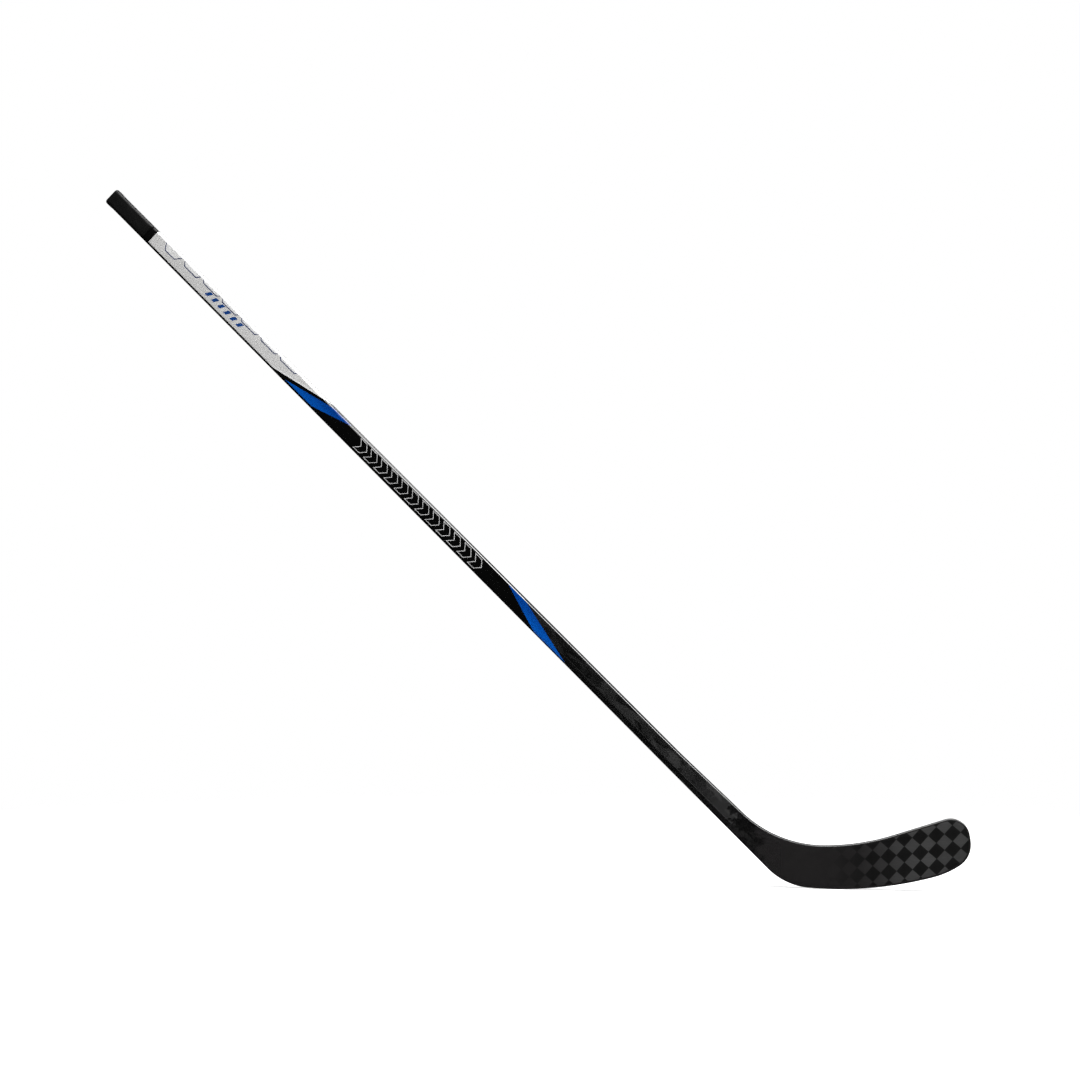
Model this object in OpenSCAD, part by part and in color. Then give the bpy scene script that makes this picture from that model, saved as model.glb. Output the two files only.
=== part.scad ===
// Ice hockey stick with a left-hand curve, in its playing pose.
// The sole stands on z = 0 and the origin is the sole's lowest point. The blade runs
// along +X to its toe and its forehand face looks along -Y. The shaft climbs along -X
// at 45 degrees. Places on the shaft are given as (v, u): u is the distance from the
// heel along the back edge, and v the distance from the back edge towards the front.

/* [Shaft] */
// Length from the heel to the butt end, along the back edge
stick_length = 1560; // [1450:10:1650]
// Width of the shaft's broad faces
shaft_w = 28.5; // [27:0.5:30]
// Depth of the shaft between its broad faces
shaft_d = 19; // [18:0.5:20]
// Radius of the shaft's long corners
corner_r = 5; // [4:0.5:6]
// Wall of the carbon tube
tube_wall = 2; // [1.6:0.1:2.4]
// Thickness of the printed films and of the outer carbon cover
film_t = 0.35; // [0.3:0.05:0.5]

/* [Lower shaft] */
// Width of the two chamfers beside the back edge
chamfer_w = 9.5; // [7:0.5:11]
// How deep the chamfers cut into the back edge
chamfer_d = 4.5; // [3:0.5:6]
// Where the chamfers begin
chamfer_top = 440; // [400:5:445]
// Where the tube ends and the blade's neck begins
neck_top = 300; // [280:10:320]
// Length of the tenon inside the tube
tenon_length = 110; // [80:10:140]

/* [Blade] */
// Thickness of the blade at the heel
heel_t = 11; // [10:0.5:12]
// Thickness of the blade at the toe
toe_t = 6.5; // [6:0.5:8]
// How far the toe curves forward of the shaft
curve_depth = 19; // [10:1:22]
// Where the curve starts, along X
curve_start = -55; // [-70:5:-30]
// Width of the bead round the blade's edge
bead_w = 3; // [2.5:0.5:4]
// Thickness of the outer spread-tow ply
ply_t = 0.4; // [0.3:0.1:0.6]
// Thickness of the structural skin under it
skin_t = 1.1; // [0.9:0.1:1.4]
// Thickness of the rib between the two foam cores
rib_t = 2; // [1.5:0.5:3]

/* [Butt end] */
// Length of the rubber cap
cap_length = 111; // [90:1:130]
// Wall of the cap's sleeve
cap_wall = 1.1; // [1:0.1:1.2]
// Thickness of the cap's closed end
cap_end = 6; // [4:1:8]
// Length of the band round the cap's mouth
band_length = 14; // [10:1:18]
// Length of the plug in the tube's open end
plug_length = 80; // [60:5:100]

/* [Hidden] */

lean = 45;          // angle between the shaft and the ice
heel_x = -79;       // where the line of the back edge meets the ice
glue_t = 0.2;       // adhesive layer
cap_gap = 0.25;     // clearance between the cap and the tube
mouth_gap = 0.1;    // clearance between the cap's mouth and the film's end
band_t = 0.4;       // thickness of the band in the cap's groove
inlay_lap = 1;      // how far a cutting shape reaches past what it cuts
corner_steps = 6;   // facets in a rounded corner
arc_step = 4;       // degrees a facet of the blade's outline turns at most
slab_step = 10;     // length of a facet of the blade's curved faces

// The blade's outline, walked from the shaft to the toe as [radius, turn or length] moves.
// A radius of 0 is a straight move, and a left turn is positive.
flare_turn = 1.5;   // how much the neck's front edge opens away from the shaft
flare_length = 121.5;
flare_start = 240;
bend_r = 165;
bend_turn = 44.4;
top_moves = [[0, flare_length], [bend_r, bend_turn], [325, 17.8], [0, 74], [24, -95], [68.346, -13.7]];
back_start = 150;
back_length = 112;
heel_r = 90;
sole_moves = [[0, back_length], [heel_r, 41], [487, 20.8], [125, 18.2], [37.768, 55]];

// The neck's last section stands upright where the blade starts
blade_x = -86;
toe_split = 140;    // where the toe bead takes over from the top and sole beads
bend_steps = 12;    // sections round the bend
bend_u = 118.6;     // where the front edge starts to bend
edge_r = 2.5;       // corner radius of the neck's last section
chamfer_run = 45;   // length over which the chamfers deepen

// Depths below the shaft's surface
bore_inset = film_t + tube_wall;
plug_inset = bore_inset + glue_t;
spigot_inset = cap_wall + cap_gap;

tube_top = stick_length - cap_end - cap_gap;
cap_mouth = stick_length - cap_length;
film_end = cap_mouth - mouth_gap;

// Printed artwork on the broad faces, as (v, u)
strip_w = 3.6;      // black strip beside the back edge
border_u = 1149;    // the slanted border between grey and black, at v = 0
border_slope = 4.6;
pinstripe_u = 12;   // length of the white pinstripe along the shaft
white_v = 24.5;     // where the broad face's grey meets the white front edge
carbon_u = 449;     // the slanted border between black and bare carbon, at v = 0
line_w = 1.1;       // width of a drawn outline
upper_line_w = 1.6;   // width of the lines of the upper motif

// ---- Frames and outlines ----

function to_xz(v, u) = [heel_x + (v - u) * cos(lean), (v + u) * sin(lean)];
function last(list) = list[len(list) - 1];
function reversed(list) = [for (i = [len(list) - 1:-1:0]) list[i]];
function mix(a, b, t) = a + (b - a) * t;
function ramp(x, low, high) = min(1, max(0, (x - low) / (high - low)));
function smooth(t) = t * t * (3 - 2 * t);

// Local X runs across the broad face (v), local Z along the shaft (u)
module on_shaft() {
    translate([heel_x, 0, 0]) rotate([0, -lean, 0]) children();
}

// A shape drawn as (v, u) on the broad face, taken right through the shaft
module through_shaft() {
    rotate([90, 0, 0]) linear_extrude(2 * shaft_d, center = true) children();
}

// One corner of a section: an arc, or a flat chamfer when flat is 1
function corner(centre, size, start, flat) = [
    for (i = [0:corner_steps])
        let (
            t = i / corner_steps,
            a = start + 90 * t,
            arc = [size.x * cos(a), size.y * sin(a)],
            low = [size.x * cos(start), size.y * sin(start)],
            high = [size.x * cos(start + 90), size.y * sin(start + 90)]
        ) centre + mix(arc, mix(low, high, t), flat)
];

// The shaft's section, w by d, with its back edge at 0. The two corners beside the back
// edge are chamfered by cut = [width, depth] as far as flat says.
function section(w, d, r, cut, flat) =
    let (back = [mix(r, cut.x, flat), mix(r, cut.y, flat)])
    concat(
        corner([w - r, d / 2 - r], [r, r], 0, 0),
        corner([back.x, d / 2 - back.y], [back.x, back.y], 90, flat),
        corner([back.x, back.y - d / 2], [back.x, back.y], 180, flat),
        corner([w - r, r - d / 2], [r, r], 270, 0)
    );

function inset_section(w, d, r, flat, inset) =
    let (cut = [chamfer_w - inset * 0.6, chamfer_d - inset * 0.6])
    section(w - 2 * inset, d - 2 * inset, max(r - inset, 1.5), cut, flat);

// A straight length of the shaft's section, sunk below its surface by inset
module bar(inset, u_low, u_high, chamfered = false) {
    translate([inset, 0, u_low]) linear_extrude(u_high - u_low)
        polygon(inset_section(shaft_w, shaft_d, corner_r, chamfered ? 1 : 0, inset));
}

// A layer between two depths below the shaft's surface
module sleeve(outer_inset, inner_inset, u_low, u_high, chamfered = false) {
    difference() {
        bar(outer_inset, u_low, u_high, chamfered);
        bar(inner_inset, u_low - inlay_lap, u_high + inlay_lap, chamfered);
    }
}

// ---- Blade outline ----

function arc_points(p, heading, r, turn) =
    let (n = ceil(abs(turn) / arc_step), s = sign(turn))
    [for (i = [1:n]) let (a = heading + turn * i / n)
        p + s * r * [sin(a) - sin(heading), cos(heading) - cos(a)]];

// side is 1 where the blade lies to the left of the walk and -1 where it lies to the right
function walk(p, heading, moves, inset, side, i = 0) =
    i == len(moves) ? [] :
    let (
        r = moves[i][0],
        turn = r == 0 ? 0 : moves[i][1],
        step = r == 0 ? [p + moves[i][1] * [cos(heading), sin(heading)]]
                      : arc_points(p, heading, r - inset * side * sign(turn), turn)
    )
    concat(step, walk(last(step), heading + turn, moves, inset, side, i + 1));

bend_heading = flare_turn - lean;

function top_path(inset) =
    let (p = to_xz(shaft_w, flare_start) + inset * [sin(bend_heading), -cos(bend_heading)])
    concat([p], walk(p, bend_heading, top_moves, inset, -1));

function sole_path(inset) =
    let (p = to_xz(0, back_start) + inset * [sin(lean), cos(lean)])
    concat([p], walk(p, -lean, sole_moves, inset, 1));

// Both paths end at the toe's foremost point
top_line = top_path(0);
sole_line = sole_path(0);
toe_x = last(top_line).x;

function middle_z(x) = (lookup(x, top_line) + lookup(x, sole_line)) / 2;

module outline(inset) {
    sole = sole_path(inset);
    polygon(concat(top_path(inset), [for (i = [len(sole) - 2:-1:0]) sole[i]]));
}

// ---- Blade faces ----

curve_r = pow(toe_x - curve_start, 2) / (2 * curve_depth);
slab_end = toe_x + inlay_lap;
slab_count = ceil((slab_end - blade_x) / slab_step);
slab_xs = [for (i = [0:slab_count]) mix(blade_x, slab_end, i / slab_count)];

function bow(x) = pow(max(x - curve_start, 0), 2) / (2 * curve_r);
function half_t(x) = mix(heel_t, toe_t, ramp(x, blade_x, toe_x)) / 2;

// Y of a surface sunk below the front face (side -1) or the back face (side 1)
function face_y(x, side, inset) = side * (half_t(x) - inset) - bow(x);

// The blade between two such surfaces, each given as [side, inset]
module slab(front, back) {
    translate([0, 0, -inlay_lap]) linear_extrude(120)
        polygon(concat(
            [for (x = slab_xs) [x, face_y(x, front[0], front[1])]],
            [for (x = reversed(slab_xs)) [x, face_y(x, back[0], back[1])]]
        ));
}

// A shape drawn as (x, z), taken right through the blade
module through_blade() {
    rotate([90, 0, 0]) linear_extrude(80, center = true) children();
}

module blade_layer(front, back) {
    intersection() {
        slab(front, back);
        through_blade() outline(bead_w);
    }
}

// The part of a blade drawing on one side of its middle line: side 1 above, -1 below
module beside_middle(side, gap, x_low, x_high) {
    xs = concat([x_low], [for (x = slab_xs) if (x > x_low && x < x_high) x], [x_high]);
    far = side > 0 ? 130 : -30;
    polygon(concat(
        [for (x = xs) [x, middle_z(x) + side * gap]],
        [[x_high, far], [x_low, far]]
    ));
}

module bead() {
    intersection() {
        slab([-1, 0], [1, 0]);
        through_blade() intersection() {
            difference() {
                outline(0);
                outline(bead_w);
            }
            children();
        }
    }
}

// ---- Neck and hosel ----

function arc_centre(p, heading, r) = p + r * [-sin(heading), cos(heading)];
function on_arc(centre, r, heading) = centre + r * [sin(heading), -cos(heading)];

bend_centre = arc_centre(top_line[1], bend_heading, bend_r);
bend_end = asin((blade_x - bend_centre.x) / bend_r);
heel_centre = arc_centre(sole_line[1], -lean, heel_r);
heel_end = asin((blade_x - heel_centre.x) / heel_r);
back_run = bend_u - back_start + back_length;
back_total = back_run + heel_r * (heel_end + lean) * PI / 180;
neck_run = neck_top - bend_u;
neck_total = neck_run + back_total;

// Back and front points of a section t of the way round the bend
function bend_back(t) =
    t * back_total < back_run ? to_xz(0, bend_u - t * back_total)
    : on_arc(heel_centre, heel_r, (t * back_total - back_run) / heel_r * 180 / PI - lean);
function bend_front(t) = on_arc(bend_centre, bend_r, mix(bend_heading, bend_end, t));

// A section ring from its back point to its front point. gone is how far the neck has
// come from the tube towards the blade, and flat how much of the chamfers is left.
function ring(back, front, gone, flat, inset) =
    let (
        w = norm(front - back),
        way = (front - back) / w,
        d = mix(shaft_d, heel_t, smooth(gone)),
        r = mix(corner_r, edge_r, gone)
    )
    [for (p = inset_section(w, d, r, flat, inset))
        let (at = back + way * (p.x + inset)) [at.x, p.y, at.y]];

function front_v(u) = shaft_w + max(flare_start - u, 0) * tan(flare_turn);

function straight_ring(u, inset) =
    ring(to_xz(0, u), to_xz(front_v(u), u), ramp(-u, -neck_top, -neck_top + neck_total),
         smooth(ramp(u, 125, 165)) * (1 - ramp(u, chamfer_top - chamfer_run, chamfer_top)), inset);

function bend_ring(t, inset) =
    ring(bend_back(t), bend_front(t), mix(neck_run / neck_total, 1, t), 0, inset);

cover_us = [chamfer_top, chamfer_top - chamfer_run, neck_top, 270, flare_start, 210, 180,
            165, 155, 145, 135, 125, bend_u];
function cover_rings(inset) = [for (u = cover_us) straight_ring(u, inset)];
function bend_rings(inset) = [for (i = [0:bend_steps]) bend_ring(i / bend_steps, inset)];

// A solid through a list of rings. A hollow one joins its last ring back to its first, and
// its inner half has the other diagonals, so that it lies flush on a solid of those rings.
module loft(rings, hollow = false) {
    n = len(rings[0]);
    spans = len(rings) - (hollow ? 0 : 1);
    inner_from = hollow ? len(rings) / 2 : spans;
    sides = [
        for (k = [0:spans - 1])
            for (i = [0:n - 1])
                let (
                    a = k * n,
                    b = ((k + 1) % len(rings)) * n,
                    j = (i + 1) % n
                )
                each k < inner_from ? [[a + i, b + j, a + j], [a + i, b + i, b + j]]
                                    : [[a + i, b + i, a + j], [b + i, b + j, a + j]]
    ];
    caps = [[for (i = [n - 1:-1:0]) i], [for (i = [0:n - 1]) (len(rings) - 1) * n + i]];
    polyhedron([for (r = rings) each r], hollow ? sides : concat(sides, caps));
}

// ---- Artwork ----

function border(v) = border_u - border_slope * v;
function carbon_border(v) = carbon_u + border_slope * v;

// The slanted area above the border, from up_by along the shaft onwards and up to v = far
module above_border(up_by, far = shaft_w + inlay_lap) {
    polygon([
        [strip_w, border(strip_w) + up_by],
        [far, border(far) + up_by],
        [far, stick_length],
        [strip_w, stick_length]
    ]);
}

// The corners of the lower flash above the carbon border
flash_high = [25.5, 606];
flash_low = [2, 527];

// The area below the carbon border, with or without the lower flash on top of it
module below_border(with_flash) {
    far = shaft_w + inlay_lap;
    edge = [for (p = [flash_high, flash_low]) [p.x, carbon_border(p.x)]];
    polygon(concat(
        [[-inlay_lap, neck_top], [far, neck_top], [far, carbon_border(far)]],
        with_flash ? [edge[0], flash_high, flash_low, edge[1]] : [],
        [[-inlay_lap, carbon_border(-inlay_lap)]]
    ));
}

module upper_flash_shape() {
    polygon([[strip_w, 1104], [26.5, 1009], [26.5, 967], [strip_w, 1040]]);
}

module lower_flash_shape() {
    polygon([
        flash_high, [flash_high.x, carbon_border(flash_high.x)],
        [flash_low.x, carbon_border(flash_low.x)], flash_low
    ]);
}

// A chevron between v_low and v_high whose two legs lean by rise along the shaft
module chevron(v_low, v_high, length, rise) {
    v_mid = (v_low + v_high) / 2;
    polygon([
        [v_low, rise], [v_mid, 0], [v_high, rise],
        [v_high, rise + length], [v_mid, length], [v_low, rise + length]
    ]);
}

module chevron_outline(v_low, v_high, length, rise) {
    lean_factor = norm([1, 2 * rise / (v_high - v_low)]);
    inner_rise = rise * (v_high - v_low - 2 * line_w) / (v_high - v_low);
    difference() {
        chevron(v_low, v_high, length, rise);
        translate([0, line_w * lean_factor])
            chevron(v_low + line_w, v_high - line_w, length - 2 * line_w * lean_factor, inner_rise);
    }
}

module lower_motif_shape() {
    for (i = [0:11])
        translate([0, 654 + 24 * i])
            chevron_outline(4.4, 24.2, 15, 9);
}

// Half hexagons that open onto the white front edge, grown by a line's width when outer is true
motif_vs = [20, 20, 19.4, 19.4, 19.4, 17, 13];

module half_hexagons(outer) {
    grow = outer ? upper_line_w : 0;
    for (i = [0:6]) {
        v = motif_vs[i] + upper_line_w - grow;
        slope = (white_v - motif_vs[i]) * 0.7;
        translate([0, 1096 + 48 * i])
            polygon([
                [v, slope + 1 - grow * 0.6],
                [white_v + 0.6, -grow * 1.2],
                [white_v + 0.6, 40 + grow * 1.2],
                [v, 39 - slope + grow * 0.6]
            ]);
    }
}

module grey_area() {
    above_border(pinstripe_u, white_v);
}

module upper_motif_shape() {
    intersection() {
        grey_area();
        difference() {
            half_hexagons(outer = true);
            half_hexagons(outer = false);
        }
    }
}

module emblem_shape() {
    for (i = [0:5])
        translate([0, 1220 + 15.5 * i])
            polygon([[9.5, 6], [9.5, 13], [18.2, 7], [18.2, 0]]);
}

// The part of the printed film that a drawing covers, on both broad faces
module printed() {
    intersection() {
        sleeve(0, film_t, chamfer_top, film_end);
        through_shaft() children();
    }
}

// ---- Butt end ----

module butt_cap() {
    lip = 0.6;
    color("#1a1a1a") on_shaft() difference() {
        union() {
            bar(0, cap_mouth, stick_length - 16);
            bar(-lip, stick_length - 16, stick_length - 3);
            bar(2, stick_length - 3, stick_length);
        }
        bar(spigot_inset - cap_gap, cap_mouth - inlay_lap, stick_length - cap_end);
        sleeve(-inlay_lap, band_t, cap_mouth - inlay_lap, cap_mouth + band_length);
    }
}

module cap_band() {
    color("#101010") on_shaft() sleeve(0, band_t, cap_mouth, cap_mouth + band_length);
}

module end_plug() {
    color("#c8a878") on_shaft() bar(plug_inset, tube_top - plug_length, tube_top);
}

module plug_adhesive() {
    color("#d8c890") on_shaft() sleeve(bore_inset, plug_inset, tube_top - plug_length, tube_top);
}

// ---- Shaft ----

module shaft_tube() {
    color("#202020") on_shaft() difference() {
        union() {
            bar(film_t, neck_top, chamfer_top, true);
            bar(film_t, chamfer_top, film_end);
            bar(spigot_inset, film_end, tube_top);
        }
        bar(bore_inset, neck_top - inlay_lap, chamfer_top, true);
        bar(bore_inset, chamfer_top, tube_top + inlay_lap);
    }
}

module grey_film() {
    color("#c8c8c6") on_shaft() printed() difference() {
        grey_area();
        emblem_shape();
        half_hexagons(outer = true);
    }
}

module white_film() {
    color("white") on_shaft() printed() difference() {
        above_border(0);
        difference() {
            grey_area();
            half_hexagons(outer = false);
        }
    }
}

module black_film() {
    color("#050505") on_shaft() difference() {
        sleeve(0, film_t, chamfer_top, film_end);
        through_shaft() {
            above_border(0);
            below_border(with_flash = true);
            upper_flash_shape();
            lower_motif_shape();
        }
    }
}

module upper_flash() {
    color("#0048a8") on_shaft() printed() upper_flash_shape();
}

module lower_flash() {
    color("#0048a8") on_shaft() printed() lower_flash_shape();
}

module emblem() {
    color("#1c4f9c") on_shaft() printed() emblem_shape();
}

module upper_motif() {
    color("#9fb0c8") on_shaft() printed() upper_motif_shape();
}

module lower_motif() {
    color("#b0b0b0") on_shaft() printed() lower_motif_shape();
}

module upper_cover() {
    color("#1c1c1c") on_shaft() printed() below_border(with_flash = false);
}

module lower_cover() {
    color("#1c1c1c") loft(concat(cover_rings(0), reversed(cover_rings(film_t))), hollow = true);
}

// ---- Neck ----

module hosel_wrap() {
    color("#181818") loft(concat(bend_rings(0), reversed(bend_rings(film_t))), hollow = true);
}

module blade_neck() {
    color("#303030") {
        loft(concat([for (u = cover_us) if (u <= neck_top) straight_ring(u, film_t)],
                    [for (i = [1:bend_steps]) bend_ring(i / bend_steps, film_t)]));
        on_shaft() bar(plug_inset, neck_top - inlay_lap, neck_top + tenon_length, true);
    }
}

module tenon_adhesive() {
    color("#d8c890") on_shaft()
        sleeve(bore_inset, plug_inset, neck_top, neck_top + tenon_length, true);
}

// ---- Blade ----

module forehand_ply() {
    color("#2c2c2c") blade_layer([-1, 0], [-1, ply_t]);
}

module backhand_ply() {
    color("#2c2c2c") blade_layer([1, ply_t], [1, 0]);
}

module forehand_skin() {
    color("#383838") blade_layer([-1, ply_t], [-1, ply_t + skin_t]);
}

module backhand_skin() {
    color("#383838") blade_layer([1, ply_t + skin_t], [1, ply_t]);
}

module core(side) {
    intersection() {
        blade_layer([-1, ply_t + skin_t], [1, ply_t + skin_t]);
        through_blade() beside_middle(side, rib_t / 2, blade_x, slab_end);
    }
}

module upper_core() {
    color("#e8dcc0") core(1);
}

module lower_core() {
    color("#e8dcc0") core(-1);
}

module core_rib() {
    color("#404040") difference() {
        blade_layer([-1, ply_t + skin_t], [1, ply_t + skin_t]);
        through_blade() {
            beside_middle(1, rib_t / 2, blade_x - inlay_lap, slab_end);
            beside_middle(-1, rib_t / 2, blade_x - inlay_lap, slab_end);
        }
    }
}

module top_bead() {
    color("#161616") bead() beside_middle(1, 0, blade_x, toe_split);
}

module sole_bead() {
    color("#161616") bead() beside_middle(-1, 0, blade_x, toe_split);
}

module toe_bead() {
    color("#161616") bead() translate([toe_split, -10]) square(140);
}

butt_cap();
cap_band();
end_plug();
plug_adhesive();
shaft_tube();
grey_film();
black_film();
white_film();
upper_flash();
lower_flash();
emblem();
upper_motif();
lower_motif();
upper_cover();
lower_cover();
hosel_wrap();
blade_neck();
tenon_adhesive();
forehand_ply();
backhand_ply();
forehand_skin();
backhand_skin();
upper_core();
lower_core();
core_rib();
top_bead();
sole_bead();
toe_bead();
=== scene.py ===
"""The looks of the ice hockey stick: its camera, lights, floor, materials and rounded pieces."""

import math

import bpy
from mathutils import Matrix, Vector


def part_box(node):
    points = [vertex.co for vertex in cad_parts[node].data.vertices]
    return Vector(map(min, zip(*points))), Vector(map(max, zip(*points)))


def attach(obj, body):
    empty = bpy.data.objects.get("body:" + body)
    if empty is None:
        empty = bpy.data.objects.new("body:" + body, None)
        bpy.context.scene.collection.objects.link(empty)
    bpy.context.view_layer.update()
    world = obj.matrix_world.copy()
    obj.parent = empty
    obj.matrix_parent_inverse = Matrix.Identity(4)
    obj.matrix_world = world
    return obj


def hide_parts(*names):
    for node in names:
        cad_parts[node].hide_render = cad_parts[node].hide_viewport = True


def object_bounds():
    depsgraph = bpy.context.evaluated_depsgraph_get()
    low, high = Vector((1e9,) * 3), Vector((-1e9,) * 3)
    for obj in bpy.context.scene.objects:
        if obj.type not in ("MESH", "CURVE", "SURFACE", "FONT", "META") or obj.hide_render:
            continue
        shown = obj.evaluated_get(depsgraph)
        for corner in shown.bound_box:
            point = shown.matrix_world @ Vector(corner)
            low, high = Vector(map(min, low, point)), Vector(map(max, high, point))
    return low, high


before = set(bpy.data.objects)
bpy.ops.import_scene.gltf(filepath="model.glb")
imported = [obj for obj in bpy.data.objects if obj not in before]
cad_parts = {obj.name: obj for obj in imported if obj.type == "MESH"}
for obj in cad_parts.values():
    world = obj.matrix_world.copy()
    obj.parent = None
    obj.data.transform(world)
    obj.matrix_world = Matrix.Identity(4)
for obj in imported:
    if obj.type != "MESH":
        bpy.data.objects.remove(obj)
CAD_LOW, CAD_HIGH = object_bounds()

# ---- Sizes, in metres and degrees ----

MM = 0.001
ROOT2 = math.sqrt(2)
CORNER_R = 5 * MM          # the shaft's long corners
CORNER_STEPS = 14          # points round a corner, an even number
LEAST_R = 0.8 * MM         # the smallest radius of a sunk corner
FILM_T = 0.35 * MM         # printed films and carbon covers
CHAMFER = (9.5 * MM, 4.5 * MM)        # its width on the broad face and on the back edge
CHAMFER_ROUNDS = (6 * MM, 1.6 * MM)   # rounding of its edges on the same two faces
CHAMFER_SINK = 0.6         # how much it narrows for each unit that it is sunk
CHAMFER_TOP = 440 * MM
CHAMFER_FULL = 395 * MM
CHAMFER_FADE = (125 * MM, 165 * MM)
NECK_TOP = 300 * MM
BEND_U = 118.6 * MM        # where the neck's front edge starts to bend
RING_STEP = 7 * MM
BEND_STEPS = 44

FLARE_TURN = 1.5
FLARE_START = 240 * MM
FLARE_LENGTH = 121.5 * MM
BACK_START = 150 * MM
BACK_LENGTH = 112 * MM
HEEL_R = 90 * MM
BEND_R = 165 * MM
# The blade's outline as [radius, turn in degrees] or [0, length] moves after the bend and the heel
TOP_MOVES = [(325 * MM, 17.8), (0, 74 * MM), (24 * MM, -95), (68.346 * MM, -13.7)]
TOP_FIRST = (BEND_R, 44.4)
SOLE_MOVES = [(487 * MM, 20.8), (125 * MM, 18.2), (37.768 * MM, 55)]
SOLE_FIRST = (HEEL_R, 41)
ARC_STEP = 1.6
RUN_STEP = 6 * MM

SMALL_R = 30 * MM          # arcs up to this radius are drawn with coarser steps
SMALL_ARC_STEP = 2.5 * ARC_STEP

HEEL_T = 11 * MM
TOE_T = 6.5 * MM
EDGE_R = 2.5 * MM          # rounding of the blade's rim
RIM_STEPS = 9              # points round it
BEAD_W = 3 * MM
PLY_T = 0.4 * MM
GROOVE = (0.3 * MM, 0.12 * MM)   # width and depth of the line between a face and the rim
CURVE_DEPTH = 19 * MM
CURVE_START = -55 * MM
FACE_ROWS = 16
COLUMN_STEP = 5 * MM
TIP_RUN = 36 * MM          # the last stretch of a face, where its columns close up
TIP_COLUMNS = 18
TIP_GAP = 0.03 * MM        # how far a face's last column stays from its outline's tip

# The chequer of wide tows at the toe: a light cell's middle, a cell's sides and its turn
FIRST_CELL = (142.8 * MM, 92.3 * MM)
CELL_SIZE = (14.36 * MM, 16.9 * MM)
CELL_TURN = math.radians(41.55)

BAND_T = 0.4 * MM
BAND_BEVEL = (0.35 * MM, 0.2 * MM)    # its run along the shaft and its drop
CAP_WALL = 1.1 * MM
CAP_END = 6 * MM           # the closed end's thickness
CAP_END_R = 3.2 * MM       # rounding of the end's rim
CAP_FACE_INSET = 5 * MM    # how far in the last ring lies on the end's flat face
CAP_LIP = 0.6 * MM         # how far the end flares out
CAP_LIP_RUN = 19 * MM      # how far from the end the flare starts
CAP_BEVEL = 0.6 * MM       # the bevel at the bottom of the bore
CAP_STEPS = 8

SHARP_ANGLE = 38           # a rounded piece's edges are sharp above this
CAD_SHARP_ANGLE = 28       # and a CAD node's above this

FLOOR_R = 7.0
FLOOR_DROP = 0.2 * MM      # the floor lies this far under the stick
FLOOR_FADE = (0.8, 1.9)    # distances from its middle between which it fades out

# The camera, fitted to the photo's two shaft edges
CAMERA_TURN = 9.22         # round to the toe's side
CAMERA_RISE = -6.95        # above the level of its target
CAMERA_AWAY = 2.01301
CAMERA_ANGLE = 45
TARGET_SHIFT = (0.05959, -0.04538)    # the target from the stick's middle, along x and z

# Each soft box's name, place from the stick's middle, size, radiance, and whether it looks straight down
LIGHTS = [
    ("overhead", (0.45, -0.65, 2.1), (2.1, 1.0), 10.5, True),
    ("overhead_right", (2.35, -0.9, 2.1), (1.9, 1.1), 11.0, True),
    ("high_front", (-0.3, -2.6, 2.6), (2.6, 1.2), 2.6, False),
    ("high_back", (-0.3, 2.6, 2.4), (2.6, 1.0), 4.0, False),
]


# ---- The shaft's own frame ----

def shaft_facts():
    """Where the back edge's line meets the floor, the shaft's width and depth, and the band's ends."""
    points = [v.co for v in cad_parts["cap_band"].data.vertices]
    sums = [p.x + p.z for p in points]
    runs = [p.z - p.x for p in points]
    heel = min(sums)
    width = (max(sums) - heel) / ROOT2
    low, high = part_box("cap_band")
    ends = [(run + heel) / ROOT2 for run in (min(runs), max(runs))]
    return heel, width, high.y - low.y, ends


def shaft_end():
    """The far end of the cap, along the shaft."""
    runs = [v.co.z - v.co.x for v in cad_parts["butt_cap"].data.vertices]
    return (max(runs) + HEEL_X) / ROOT2


HEEL_X, SHAFT_W, SHAFT_D, BAND_ENDS = shaft_facts()
SHAFT_END = shaft_end()
MIDDLE = (CAD_LOW + CAD_HIGH) / 2
BLADE_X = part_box("forehand_ply")[0].x
TOE_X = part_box("toe_bead")[1].x
TOE_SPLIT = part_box("toe_bead")[0].x
CURVE_R = (TOE_X - CURVE_START) ** 2 / (2 * CURVE_DEPTH)


def on_shaft(v, y, u):
    """A point v from the back edge, y from the middle plane and u along the shaft."""
    return Vector((HEEL_X + (v - u) / ROOT2, y, (v + u) / ROOT2))


def mix(a, b, t):
    return a + (b - a) * t


def ramp(x, low, high):
    return min(1.0, max(0.0, (x - low) / (high - low)))


def smooth(t):
    return t * t * (3 - 2 * t)


# ---- Meshes ----

def add_mesh(name, points, faces, body, material, slot, nodes):
    """A closed mesh that rides on a body and stands for CAD nodes."""
    mesh = bpy.data.meshes.new(name)
    mesh.from_pydata([tuple(p) for p in points], [], faces)
    mesh.validate()
    mesh.shade_smooth()
    mesh.set_sharp_from_angle(angle=math.radians(SHARP_ANGLE))
    obj = bpy.data.objects.new(name, mesh)
    bpy.context.scene.collection.objects.link(obj)
    mesh.materials.append(material)
    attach(obj, body)
    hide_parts(*nodes)
    return obj


def joined_rings(rings, closed):
    """Points and faces of a surface through rings of the same length, and back to the first if closed."""
    n = len(rings[0])
    points = [p for ring in rings for p in ring]
    spans = len(rings) if closed else len(rings) - 1
    faces = []
    for k in range(spans):
        a, b = k * n, ((k + 1) % len(rings)) * n
        for i in range(n):
            j = (i + 1) % n
            faces.append((a + i, a + j, b + j, b + i))
    return points, faces


def shell(outer, inner):
    """A tube wall from outer rings, back along the inner ones."""
    return joined_rings(outer + inner[::-1], closed=True)


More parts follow.
